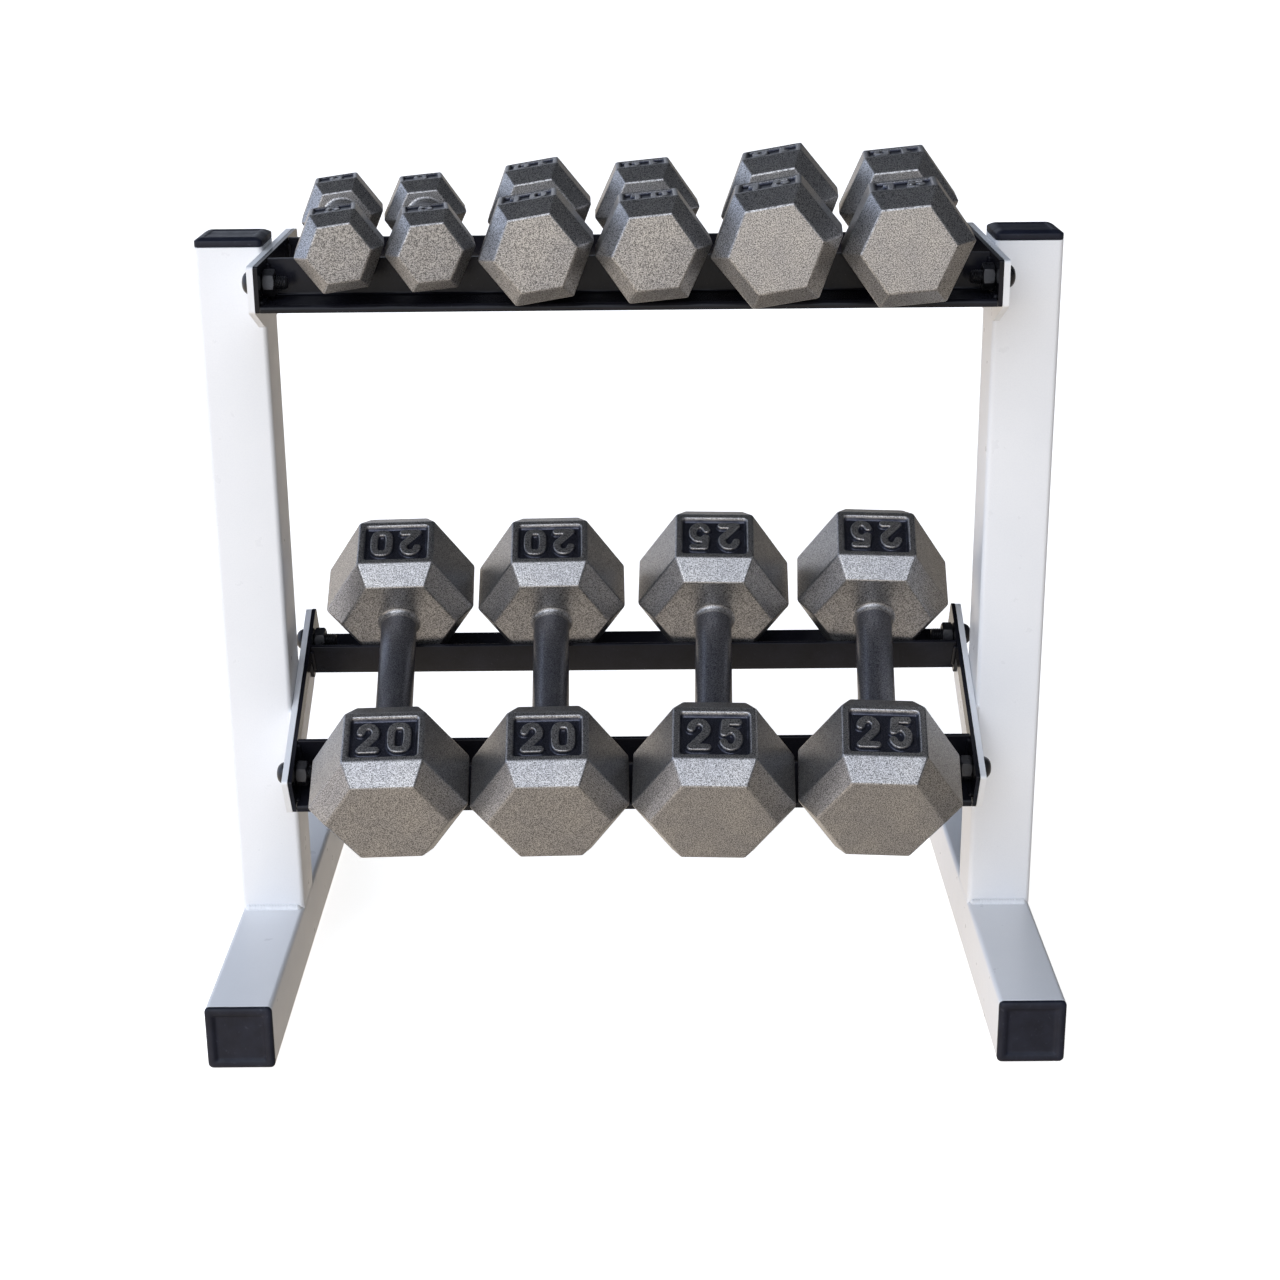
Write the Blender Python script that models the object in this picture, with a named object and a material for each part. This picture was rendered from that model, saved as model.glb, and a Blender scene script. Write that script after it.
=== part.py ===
"""Two-shelf dumbbell rack with five pairs of hexagonal dumbbells.

Units are metres, +Z is up, the front of the rack faces -Y and X runs left to
right. The origin is on the floor, midway between the two side frames and
midway between the front and rear ends of the base tubes.

Two welded side frames (base tube, upright, two bracket plates) carry two
bolted shelves. Each shelf is a pair of formed rails with an end plate on each
end; the upright leg of each rail stands between the two heads of a dumbbell,
so a dumbbell straddles the pair of legs and its heads sit on the outer trays.
"""
import bpy
import bmesh
import math
from mathutils import Vector, Matrix

for ob in list(bpy.data.objects):
    bpy.data.objects.remove(ob, do_unlink=True)

MM = 0.001

# ---- driving dimensions (mm) ---------------------------------------------
FRAME_W = 637.0          # outside width over the two side frames
TUBE = 50.0              # square tube, base and upright
WALL = 2.0
BASE_L = 445.0           # base tube with both end caps
CAP_T = 3.5              # flange of a base end cap
UP_Y0 = 169.0            # front face of the upright, from the base front
UP_TOP = 583.0           # top end of the upright tube
CAP_H = 7.0              # upright cap above the tube
GAP = 0.3                # running gap left between touching pieces

BRK_T = 4.5              # white bracket plate
BRK_D = 50.0             # its depth in the middle
END_T = 3.0              # black shelf end plate
SH_L = 190.0             # shelf depth, front to rear
RAIL_T = 3.0
TRAY = 46.0              # rail tray, outer edge to back of the upright leg
LEG_N = -0.8             # top of the upright leg
BOLT_S, BOLT_N = 23.0, -15.0

YC = BASE_L / 2.0        # shifts base-front coordinates to the part origin
XF = FRAME_W / 2.0       # outer face of a side frame
XI = XF - TUBE           # inner face of a side frame

# shelf datum: front top corner of the end plates and the tilt of the shelf;
# h is the end plate height at the rails, tray the tray surface below its top
SHELVES = {
    "upper": dict(y=97.5, z=580.2, tilt=0.0, h=33.0, tray=-27.5),
    "lower": dict(y=100.4, z=187.7, tilt=27.0, h=35.0, tray=-29.5),
}


def V(x, y, z):
    """Base-front millimetres to part-frame metres."""
    return Vector((x * MM, (y - YC) * MM, z * MM))


def shelf_yz(shelf, s, n):
    d = SHELVES[shelf]
    t = math.radians(d["tilt"])
    return (d["y"] + s * math.cos(t) - n * math.sin(t),
            d["z"] + s * math.sin(t) + n * math.cos(t))


# ---- materials ------------------------------------------------------------
def material(name, rgb, rough, metal):
    m = bpy.data.materials.new(name)
    m.use_nodes = True
    b = m.node_tree.nodes["Principled BSDF"]
    b.inputs["Base Color"].default_value = (*rgb, 1.0)
    b.inputs["Roughness"].default_value = rough
    b.inputs["Metallic"].default_value = metal
    m.diffuse_color = (*rgb, 1.0)
    return m


LOOKS = {
    "white": ((0.86, 0.86, 0.87), 0.35, 0.0),
    "black": ((0.02, 0.02, 0.024), 0.22, 0.0),
    "cap": ((0.03, 0.03, 0.045), 0.4, 0.0),
    "bolt": ((0.03, 0.03, 0.035), 0.3, 0.9),
    "iron": ((0.33, 0.32, 0.31), 0.5, 0.6),
}


def finish(bm, name, look, origin=None, smooth=None, rot=None):
    """Turn a bmesh in part coordinates into a named object."""
    bmesh.ops.remove_doubles(bm, verts=bm.verts, dist=1e-7)
    bmesh.ops.recalc_face_normals(bm, faces=bm.faces)
    vol = bm.calc_volume(signed=True)
    if vol < 0:
        bmesh.ops.reverse_faces(bm, faces=bm.faces)
    if origin is not None:
        bmesh.ops.translate(bm, verts=bm.verts, vec=-Vector(origin))
        if rot is not None:
            bmesh.ops.rotate(bm, verts=bm.verts, cent=(0, 0, 0),
                             matrix=rot.inverted().to_3x3())
    me = bpy.data.meshes.new(name)
    bm.to_mesh(me)
    bm.free()
    ob = bpy.data.objects.new(name, me)
    if origin is not None:
        ob.location = origin
        if rot is not None:
            ob.rotation_euler = rot.to_euler()
    bpy.context.scene.collection.objects.link(ob)
    me.materials.append(material("mat_" + name, *LOOKS[look]))
    if smooth:
        for p in me.polygons:
            p.use_smooth = True
    return ob


def prism_x(bm, pts, x0, x1):
    """Extrude a (y, z) outline given in base-front mm along X."""
    a = [bm.verts.new(V(x0, y, z)) for y, z in pts]
    b = [bm.verts.new(V(x1, y, z)) for y, z in pts]
    n = len(pts)
    bm.faces.new(a)
    bm.faces.new(list(reversed(b)))
    for i in range(n):
        j = (i + 1) % n
        bm.faces.new((a[i], b[i], b[j], a[j]))


def plate_with_holes(bm, outline, holes, x0, x1, seg=20):
    """Plate in a YZ plane with round holes, built from one filled section.

    outline and holes are in base-front mm; each hole is (y, z, radius).
    """
    loops = [outline]
    for (hy, hz, r) in holes:
        loops.append([(hy + r * math.cos(2 * math.pi * k / seg),
                       hz + r * math.sin(2 * math.pi * k / seg))
                      for k in range(seg)])
    flat = bmesh.new()
    edges = []
    for lp in loops:
        vs = [flat.verts.new((0.0, (y - YC) * MM, z * MM)) for y, z in lp]
        for i in range(len(vs)):
            edges.append(flat.edges.new((vs[i], vs[(i + 1) % len(vs)])))
    flat.verts.index_update()
    bmesh.ops.triangle_fill(flat, edges=edges, use_beauty=True,
                            use_dissolve=False, normal=(1, 0, 0))
    flat.verts.index_update()
    tri = [[v.index for v in f.verts] for f in flat.faces]
    co = [v.co.copy() for v in flat.verts]
    rings = []
    k = 0
    for lp in loops:
        rings.append(list(range(k, k + len(lp))))
        k += len(lp)
    flat.free()
    lo = [bm.verts.new((x0 * MM, c.y, c.z)) for c in co]
    hi = [bm.verts.new((x1 * MM, c.y, c.z)) for c in co]
    for t in tri:
        bm.faces.new([lo[i] for i in t])
        bm.faces.new([hi[i] for i in reversed(t)])
    for r in rings:
        for i in range(len(r)):
            a, b = r[i], r[(i + 1) % len(r)]
            bm.faces.new((lo[a], lo[b], hi[b], hi[a]))


def rounded(pts, radii, seg=3):
    """Round the corners of an outline; one radius per corner (mm)."""
    out = []
    n = len(pts)
    for i, (p, r) in enumerate(zip(pts, radii)):
        p = Vector((p[0], p[1]))
        a = Vector(pts[i - 1]) - p
        b = Vector(pts[(i + 1) % n]) - p
        if r <= 0.0:
            out.append(tuple(p))
            continue
        an = a.normalized()
        bn = b.normalized()
        half = an.angle(bn) / 2.0
        d = r / math.tan(half)
        c = p + (an + bn).normalized() * (r / math.sin(half))
        s0 = p + an * d - c
        s1 = p + bn * d - c
        ang0 = math.atan2(s0.y, s0.x)
        ang1 = math.atan2(s1.y, s1.x)
        dlt = (ang1 - ang0 + math.pi) % (2 * math.pi) - math.pi
        for k in range(seg + 1):
            t = ang0 + dlt * k / seg
            out.append((c.x + r * math.cos(t), c.y + r * math.sin(t)))
    return out


# ---- square tube with rounded corners --------------------------------------
def ring2d(half, r, seg=3):
    pts = [(-half, -half), (half, -half), (half, half), (-half, half)]
    return rounded(pts, [r] * 4, seg)


def tube(bm, frame, half, wall, length, r_out):
    """Open hollow square tube; frame(u, v, w) maps section+length to metres."""
    o = ring2d(half, r_out)
    i = ring2d(half - wall, max(r_out - wall, 0.6))
    n = len(o)
    rows = []
    for w in (0.0, length):
        rows.append(([bm.verts.new(frame(u, v, w)) for u, v in o],
                     [bm.verts.new(frame(u, v, w)) for u, v in i]))
    (o0, i0), (o1, i1) = rows
    for k in range(n):
        j = (k + 1) % n
        bm.faces.new((o0[k], o0[j], o1[j], o1[k]))
        bm.faces.new((i0[j], i0[k], i1[k], i1[j]))
        bm.faces.new((o0[j], o0[k], i0[k], i0[j]))
        bm.faces.new((o1[k], o1[j], i1[j], i1[k]))


def loft(bm, frame, levels):
    """Closed body through stacked outlines: levels = [(w, [(u, v)...])...]."""
    rows = [[bm.verts.new(frame(u, v, w)) for u, v in pts]
            for w, pts in levels]
    n = len(rows[0])
    bm.faces.new(list(reversed(rows[0])))
    bm.faces.new(rows[-1])
    for a, b in zip(rows[:-1], rows[1:]):
        for k in range(n):
            j = (k + 1) % n
            bm.faces.new((a[k], a[j], b[j], b[k]))


H = TUBE / 2.0
R_T = 3.5

for side, sx in (("left", -1), ("right", 1)):
    xc = sx * (XF - H)
    # base tube, lying front to back, open under its caps
    bm = bmesh.new()
    tube(bm, lambda u, v, w: V(xc + u, CAP_T + GAP + w, H + v), H, WALL,
         BASE_L - 2 * (CAP_T + GAP), R_T)
    finish(bm, "base_tube_" + side, "white")
    # upright tube standing on the base tube
    bm = bmesh.new()
    tube(bm, lambda u, v, w: V(xc + u, UP_Y0 + H + v, TUBE + GAP + w), H,
         WALL, UP_TOP - TUBE - GAP, R_T)
    finish(bm, "upright_" + side, "white")
    # base end caps: flange with a recessed panel, plug inside the tube
    plug = H - WALL - GAP
    for end, sy in (("front", -1), ("rear", 1)):
        y_out = 0.0 if sy < 0 else BASE_L
        fr = (lambda u, v, w, y_out=y_out, sy=sy:
              V(xc + u, y_out - sy * w, H + v))
        bm = bmesh.new()
        loft(bm, fr, [
            (1.6, ring2d(H - 4.2, 1.5)),
            (0.6, ring2d(H - 3.4, 1.8)),
            (0.0, ring2d(H - 2.6, 2.0)),
            (0.0, ring2d(H - 0.8, 3.0)),
            (0.8, ring2d(H, R_T)),
            (CAP_T, ring2d(H, R_T)),
            (CAP_T, ring2d(plug, 1.6)),
            (CAP_T + 14.0, ring2d(plug - 0.8, 1.4)),
        ])
        finish(bm, "base_cap_%s_%s" % (side, end), "cap")
    # upright cap: short skirt, narrow chamfer and a broad flat top
    fr = lambda u, v, w: V(xc + u, UP_Y0 + H + v, UP_TOP + GAP + w)
    bm = bmesh.new()
    loft(bm, fr, [
        (-14.0, ring2d(plug - 0.8, 1.4)),
        (0.0, ring2d(plug, 1.6)),
        (0.0, ring2d(H, R_T)),
        (4.4, ring2d(H, R_T)),
        (5.1, ring2d(H - 0.6, R_T)),
        (CAP_H - 0.5, ring2d(H - 3.6, 2.8)),
        (CAP_H, ring2d(H - 5.0, 2.2)),
    ])
    finish(bm, "upright_cap_" + side, "cap")


# ---- brackets, shelves and hardware ----------------------------------------
def bolt_xy(shelf):
    out = []
    for tag, s in (("front", BOLT_S), ("rear", SH_L - BOLT_S)):
        out.append((tag,) + shelf_yz(shelf, s, BOLT_N))
    return out


def disc(n, r, phase=0.0):
    return [(r * math.cos(phase + 2 * math.pi * k / n),
             r * math.sin(phase + 2 * math.pi * k / n)) for k in range(n)]


M_R = 5.0                 # M10 shank radius
for shelf in ("upper", "lower"):
    P = lambda s, n, shelf=shelf: shelf_yz(shelf, s, n)
    tilt = math.radians(SHELVES[shelf]["tilt"])
    SH_H = SHELVES[shelf]["h"]
    TRAY_N = SHELVES[shelf]["tray"]
    for side, sx in (("left", -1), ("right", 1)):
        # white bracket, flush against the inner face of the side frame
        out = rounded([(0, 0), (0, -SH_H), (38, -BRK_D), (SH_L - 38, -BRK_D),
                       (SH_L, -SH_H), (SH_L, 0)],
                      [2.5, 2.5, 6, 6, 5, 5], 3)
        holes = [(y, z, M_R + 0.3) for _, y, z in bolt_xy(shelf)]
        xa = sx * (XI - GAP)
        xb = sx * (XI - GAP - BRK_T)
        bm = bmesh.new()
        plate_with_holes(bm, [P(*p) for p in out], holes,
                         min(xa, xb), max(xa, xb))
        finish(bm, "bracket_%s_%s" % (shelf, side), "white")
        # black end plate, cut back between the two rails
        out = rounded([(0, 0), (0, -SH_H), (TRAY + 1, -SH_H),
                       (TRAY + 6, -13), (SH_L - TRAY - 6, -13),
                       (SH_L - TRAY - 1, -SH_H), (SH_L, -SH_H), (SH_L, 0)],
                      [1.5, 1.5, 1.5, 3, 3, 1.5, 1.5, 4], 3)
        xa = sx * (XI - 2 * GAP - BRK_T)
        xb = sx * (XI - 2 * GAP - BRK_T - END_T)
        bm = bmesh.new()
        plate_with_holes(bm, [P(*p) for p in out], holes,
                         min(xa, xb), max(xa, xb))
        finish(bm, "end_plate_%s_%s" % (shelf, side), "black")
        # bolts with a domed head outside, hex nuts inside
        for tag, by, bz in bolt_xy(shelf):
            x_head = XI                  # outer face of the bracket + gap
            x_in = XI - 3 * GAP - BRK_T - END_T
            fr = (lambda u, v, w, by=by, bz=bz, sx=sx:
                  V(sx * w, by + u, bz + v))
            n = 24
            bm = bmesh.new()
            loft(bm, fr, [
                (x_in - 17.0, disc(n, 3.9)),
                (x_in - 16.0, disc(n, M_R - 0.1)),
                (x_head, disc(n, M_R - 0.1)),
                (x_head, disc(n, 8.6)),
                (x_head + 2.2, disc(n, 8.6)),
                (x_head + 4.6, disc(n, 7.4)),
                (x_head + 6.4, disc(n, 5.0)),
                (x_head + 7.0, disc(n, 2.2)),
            ])
            finish(bm, "bolt_%s_%s_%s" % (shelf, side, tag), "bolt")
            bm = bmesh.new()
            hexa = [(u, v) for u, v in disc(6, 17.0 / math.sqrt(3.0),
                                            math.radians(20))]
            bore = disc(24, M_R + 0.2)
            # hex nut: side wall from hexagon, ends bridged to the bore
            xs = (x_in - 8.4, x_in)
            hexs = []
            bores = []
            h24 = []
            for k in range(24):
                a = 2 * math.pi * k / 24
                aa = (a - math.radians(20)) % (math.pi / 3) - math.pi / 6
                r = 8.5 / math.cos(aa)
                h24.append((r * math.cos(a), r * math.sin(a)))
            # use a 24-point outline that contains the six corners
            pts = []
            for k in range(6):
                a0 = math.radians(20 + 60 * k)
                a1 = math.radians(20 + 60 * (k + 1))
                p0 = Vector((math.cos(a0), math.sin(a0))) * 17.0 / math.sqrt(3)
                p1 = Vector((math.cos(a1), math.sin(a1))) * 17.0 / math.sqrt(3)
                for j in range(4):
                    q = p0.lerp(p1, j / 4.0)
                    pts.append((q.x, q.y))
            bore = []
            for (u, v) in pts:
                a = math.atan2(v, u)
                bore.append(((M_R + 0.2) * math.cos(a),
                             (M_R + 0.2) * math.sin(a)))
            for w in xs:
                hexs.append([bm.verts.new(fr(u, v, w)) for u, v in pts])
                bores.append([bm.verts.new(fr(u, v, w)) for u, v in bore])
            for k in range(24):
                j = (k + 1) % 24
                bm.faces.new((hexs[0][k], hexs[0][j], hexs[1][j], hexs[1][k]))
                bm.faces.new((bores[0][j], bores[0][k],
                              bores[1][k], bores[1][j]))
                bm.faces.new((hexs[0][j], hexs[0][k],
                              bores[0][k], bores[0][j]))
                bm.faces.new((hexs[1][k], hexs[1][j],
                              bores[1][j], bores[1][k]))
            finish(bm, "nut_%s_%s_%s" % (shelf, side, tag), "bolt")

    # rails: upright leg between the dumbbell heads, tray outside it, lip down
    xr = XI - 3 * GAP - BRK_T - END_T
    prof = [(TRAY, LEG_N), (TRAY - RAIL_T, LEG_N), (TRAY - RAIL_T, TRAY_N),
            (0.5, TRAY_N), (0.5, -SH_H), (0.5 + RAIL_T, -SH_H),
            (0.5 + RAIL_T, TRAY_N - RAIL_T), (TRAY, TRAY_N - RAIL_T)]
    rad = [0.5, 0.5, 2.0, 3.2, 0.8, 0.8, 1.0, 3.5]
    sec = rounded(prof, rad, 3)
    for tag, mir in (("front", False), ("rear", True)):
        pts = [((SH_L - s) if mir else s, n) for s, n in sec]
        bm = bmesh.new()
        prism_x(bm, [P(*p) for p in pts], -xr, xr)
        finish(bm, "rail_%s_%s" % (shelf, tag), "black")


# ---- dumbbells ---------------------------------------------------------------
# size: across corners, chamfer length, flat length, half grip, grip radius,
# ratio of the small end hexagon
SIZES = {
    5: (63.8, 11.5, 33.5, 60.0, 12.8, 0.72),
    10: (81.6, 14.0, 41.0, 60.0, 13.6, 0.72),
    15: (92.2, 15.0, 49.0, 61.0, 13.8, 0.72),
    20: (118.8, 16.7, 46.5, 63.5, 14.2, 0.77),
    25: (122.0, 17.0, 49.0, 63.5, 14.4, 0.77),
}
# name, weight, x, roll (right side up), yaw about the shelf's normal (rear to
# the right) in degrees
UPPER = [
    ("dumbbell_05_left", 5, -212.4, 7.4, -6.6),
    ("dumbbell_05_right", 5, -148.6, 4.8, -6.4),
    ("dumbbell_10_left", 10, -66.9, 9.2, -1.8),
    ("dumbbell_10_right", 10, 15.6, 5.3, -1.2),
    ("dumbbell_15_left", 15, 110.6, 10.0, 4.0),
    ("dumbbell_15_right", 15, 201.8, 6.0, 4.4),
]
LOWER = [
    ("dumbbell_20_left", 20, -185.2, 0.0, -1.7),
    ("dumbbell_20_right", 20, -64.2, 0.0, -1.0),
    ("dumbbell_25_left", 25, 62.6, 0.0, 1.5),
    ("dumbbell_25_right", 25, 188.8, 0.0, 2.9),
]
UP_S = 91.0               # upper dumbbell centre along the shelf


def dumbbell(name, lb, centre, tilt, roll, yaw):
    D, lc, lf, hg, rg, k = SIZES[lb]
    th, ph, ps = (math.radians(a) for a in (tilt, roll, yaw))
    along = Vector((0.0, math.cos(th), math.sin(th)))
    side = Vector((1.0, 0.0, 0.0))
    ax = math.cos(ps) * along + math.sin(ps) * side
    ex = math.cos(ps) * side - math.sin(ps) * along
    ez = ex.cross(ax)
    x2 = math.cos(ph) * ex + math.sin(ph) * ez
    z2 = -math.sin(ph) * ex + math.cos(ph) * ez
    rot = Matrix((x2, ax, z2)).transposed()
    n = 24

    def hexpts(r):
        pts = []
        for q in range(6):
            a0, a1 = math.radians(60 * q), math.radians(60 * (q + 1))
            p0 = Vector((math.cos(a0), math.sin(a0))) * r
            p1 = Vector((math.cos(a1), math.sin(a1))) * r
            for j in range(4):
                c = p0.lerp(p1, j / 4.0)
                pts.append((c.x, c.y))
        return pts

    def circ(r):
        return [(r * math.cos(math.atan2(v, u)), r * math.sin(math.atan2(v, u)))
                for u, v in hexpts(1.0)]

    half = [
        (-(hg + 2 * lc + lf), hexpts(D / 2 * k)),
        (-(hg + lc + lf), hexpts(D / 2)),
        (-(hg + lc), hexpts(D / 2)),
        (-hg, hexpts(D / 2 * k)),
        (-hg + 0.0, circ(rg + 2.6)),
        (-hg + 3.0, circ(rg)),
    ]
    levels = half + [(-w, p) for w, p in reversed(half)]
    bm = bmesh.new()
    o = V(*centre)

    def fr(u, v, w):
        return o + (x2 * u + ax * w + z2 * v) * MM

    loft(bm, fr, levels)
    finish(bm, name, "iron", origin=o, rot=rot)


for name, lb, x, roll, yaw in UPPER:
    D, lc, lf, hg, rg, k = SIZES[lb]
    low = D / 2 * math.sin(math.radians(60 + roll))
    n = max(SHELVES["upper"]["tray"] + low, LEG_N + rg) + GAP
    y, z = shelf_yz("upper", UP_S, n)
    dumbbell(name, lb, (x, y, z), SHELVES["upper"]["tilt"], roll, yaw)
for name, lb, x, roll, yaw in LOWER:
    D, lc, lf, hg, rg, k = SIZES[lb]
    n = SHELVES["lower"]["tray"] + D / 2 * math.cos(math.radians(30)) + GAP
    # the turned rear head touches the rear leg with one corner of its inner face
    reach = D / 2 * k - (n - LEG_N) / math.sqrt(3.0)
    s = SH_L - TRAY + RAIL_T + GAP - hg + reach * math.sin(
        math.radians(abs(yaw)))
    y, z = shelf_yz("lower", s, n)
    dumbbell(name, lb, (x, y, z), SHELVES["lower"]["tilt"], roll, yaw)
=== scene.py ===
"""Looks for the two-shelf dumbbell rack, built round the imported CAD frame.

Every piece is mesh code in the row frame (metres, +Z up, front towards -Y).
White powder-coated side frames with weld beads, moulded caps, gloss black
shelves, domed bolts with threads, and hammertone cast-iron dumbbells with
recessed number panels.
"""
import math

import bmesh
import bpy
import numpy as np
from mathutils import Matrix, Vector, noise

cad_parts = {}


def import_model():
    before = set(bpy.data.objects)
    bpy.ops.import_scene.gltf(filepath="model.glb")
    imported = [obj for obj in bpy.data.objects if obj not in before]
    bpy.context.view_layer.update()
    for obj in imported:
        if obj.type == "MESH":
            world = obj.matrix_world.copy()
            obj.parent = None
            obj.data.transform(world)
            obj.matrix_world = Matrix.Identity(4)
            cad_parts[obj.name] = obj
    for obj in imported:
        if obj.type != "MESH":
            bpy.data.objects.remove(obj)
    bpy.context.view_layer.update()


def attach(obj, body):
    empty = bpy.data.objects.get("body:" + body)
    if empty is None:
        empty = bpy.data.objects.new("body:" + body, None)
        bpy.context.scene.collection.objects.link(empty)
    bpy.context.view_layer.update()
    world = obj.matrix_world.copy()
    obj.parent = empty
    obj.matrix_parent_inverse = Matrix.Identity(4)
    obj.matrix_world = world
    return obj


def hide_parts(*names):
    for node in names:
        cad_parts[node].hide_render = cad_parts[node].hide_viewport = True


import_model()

MM = 0.001
TUBE, WALL, BASE_L, CAP_T = 50.0, 2.0, 445.0, 3.5
UP_Y0, UP_TOP, CAP_H, GAP = 169.0, 583.0, 7.0, 0.3
BRK_T, BRK_D, END_T = 4.5, 50.0, 3.0
SH_L, RAIL_T = 190.0, 3.0
TRAY, LEG_N = 46.0, -0.8
BOLT_S, BOLT_N, M_R = 23.0, -15.0, 5.0
YC = BASE_L / 2.0
XF = 318.5
XI = XF - TUBE
H = TUBE / 2.0
R_T = 3.8
SHELVES = {
    "upper": dict(y=97.5, z=580.2, tilt=0.0, h=33.0, tray=-27.5),
    "lower": dict(y=100.4, z=187.7, tilt=27.0, h=35.0, tray=-29.5),
}


def V(x, y, z):
    return Vector((x * MM, (y - YC) * MM, z * MM))


def shelf_yz(shelf, s, n):
    d = SHELVES[shelf]
    t = math.radians(d["tilt"])
    return (d["y"] + s * math.cos(t) - n * math.sin(t),
            d["z"] + s * math.sin(t) + n * math.cos(t))


# ---------------------------------------------------------------- materials
class Nodes:
    """Short-hand for building one node material."""

    def __init__(self, name):
        self.mat = bpy.data.materials.new(name)
        self.mat.use_nodes = True
        self.nt = self.mat.node_tree
        self.bsdf = self.nt.nodes["Principled BSDF"]

    def add(self, kind, **props):
        n = self.nt.nodes.new(kind)
        for k, v in props.items():
            setattr(n, k, v)
        return n

    def link(self, a, b):
        self.nt.links.new(a, b)

    def coords(self, scale=(1, 1, 1)):
        tc = self.add("ShaderNodeTexCoord")
        if tuple(scale) == (1, 1, 1):
            return tc.outputs["Object"]
        mp = self.add("ShaderNodeMapping")
        mp.inputs["Scale"].default_value = scale
        self.link(tc.outputs["Object"], mp.inputs["Vector"])
        return mp.outputs["Vector"]

    def noise(self, vec, scale, detail=2.0, rough=0.5, dist=0.0):
        n = self.add("ShaderNodeTexNoise")
        n.inputs["Scale"].default_value = scale
        n.inputs["Detail"].default_value = detail
        n.inputs["Roughness"].default_value = rough
        n.inputs["Distortion"].default_value = dist
        self.link(vec, n.inputs["Vector"])
        return n.outputs["Fac"]

    def voronoi(self, vec, scale, feature="F1", smooth=0.5):
        n = self.add("ShaderNodeTexVoronoi", feature=feature)
        n.inputs["Scale"].default_value = scale
        if feature == "SMOOTH_F1":
            n.inputs["Smoothness"].default_value = smooth
        self.link(vec, n.inputs["Vector"])
        return n.outputs["Distance"]

    def ramp(self, fac, stops):
        n = self.add("ShaderNodeValToRGB")
        r = n.color_ramp
        while len(r.elements) < len(stops):
            r.elements.new(0.5)
        for e, (p, c) in zip(r.elements, stops):
            e.position = p
            e.color = (*c, 1.0) if len(c) == 3 else c
        self.link(fac, n.inputs["Fac"])
        return n.outputs["Color"]

    def maprange(self, val, a, b, c, d, smooth=False):
        n = self.add("ShaderNodeMapRange")
        n.interpolation_type = "SMOOTHSTEP" if smooth else "LINEAR"
        for i, v in zip(("From Min", "From Max", "To Min", "To Max"),
                        (a, b, c, d)):
            n.inputs[i].default_value = v
        self.link(val, n.inputs["Value"])
        return n.outputs["Result"]

    def math(self, op, a, b=None, c=None):
        n = self.add("ShaderNodeMath", operation=op)
        for i, v in enumerate((a, b, c)):
            if v is None:
                continue
            if isinstance(v, (int, float)):
                n.inputs[i].default_value = v
            else:
                self.link(v, n.inputs[i])
        return n.outputs["Value"]

    def mix(self, fac, a, b, blend="MIX"):
        n = self.add("ShaderNodeMix", data_type="RGBA", blend_type=blend)
        if isinstance(fac, (int, float)):
            n.inputs[0].default_value = fac
        else:
            self.link(fac, n.inputs[0])
        for i, v in ((6, a), (7, b)):
            if isinstance(v, tuple):
                n.inputs[i].default_value = (*v, 1.0) if len(v) == 3 else v
            else:
                self.link(v, n.inputs[i])
        return n.outputs[2]

    def bump(self, height, strength, distance, normal=None):
        n = self.add("ShaderNodeBump")
        n.inputs["Strength"].default_value = strength
        n.inputs["Distance"].default_value = distance
        self.link(height, n.inputs["Height"])
        if normal is not None:
            self.link(normal, n.inputs["Normal"])
        return n.outputs["Normal"]

    def attr(self, name):
        n = self.add("ShaderNodeAttribute", attribute_name=name)
        n.attribute_type = "GEOMETRY"
        return n.outputs["Fac"]

    def done(self, color, rough, normal=None, **fixed):
        b = self.bsdf
        self.link(color, b.inputs["Base Color"])
        if isinstance(rough, (int, float)):
            b.inputs["Roughness"].default_value = rough
        else:
            self.link(rough, b.inputs["Roughness"])
        if normal is not None:
            self.link(normal, b.inputs["Normal"])
        for k, v in fixed.items():
            b.inputs[k.replace("_", " ")].default_value = v
        return self.mat


def white_powder():
    m = Nodes("white_powder_coat")
    c = m.coords()
    cloud = m.noise(c, 9.0, 3.0, 0.55)
    tone = m.ramp(cloud, [(0.3, (0.82, 0.83, 0.845)), (0.7, (0.865, 0.87, 0.88))])
    fine = m.noise(c, 900.0, 2.0, 0.5)
    grain = m.ramp(fine, [(0.30, (0.975, 0.975, 0.98)), (0.60, (1, 1, 1))])
    col = m.mix(1.0, tone, grain, "MULTIPLY")
    peel = m.noise(c, 640.0, 2.0, 0.5, 0.3)
    wave = m.noise(c, 130.0, 1.0, 0.5)
    h = m.math("MULTIPLY_ADD", wave, 0.6, peel)
    rough = m.maprange(m.noise(c, 60.0, 3.0, 0.6), 0.3, 0.7, 0.27, 0.40)
    return m.done(col, rough, m.bump(h, 0.55, 0.00012),
                  Specular_IOR_Level=0.5, Coat_Weight=0.15,
                  Coat_Roughness=0.12)


def black_powder():
    m = Nodes("black_powder_coat")
    c = m.coords()
    cloud = m.noise(c, 30.0, 4.0, 0.6)
    tone = m.ramp(cloud, [(0.3, (0.006, 0.006, 0.008)),
                          (0.72, (0.013, 0.013, 0.019))])
    dust = m.noise(c, 900.0, 2.0, 0.6)
    d = m.ramp(dust, [(0.68, (0, 0, 0)), (0.80, (0.035, 0.035, 0.040))])
    col = m.mix(1.0, tone, d, "ADD")
    peel = m.noise(c, 520.0, 2.0, 0.5, 0.2)
    wave = m.noise(c, 85.0, 1.0, 0.5)
    h = m.math("MULTIPLY_ADD", wave, 0.8, peel)
    rough = m.maprange(m.noise(c, 45.0, 4.0, 0.65), 0.3, 0.7, 0.13, 0.25)
    return m.done(col, rough, m.bump(h, 0.6, 0.00014),
                  Specular_IOR_Level=0.15, Coat_Weight=0.03,
                  Coat_Roughness=0.09)


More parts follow.
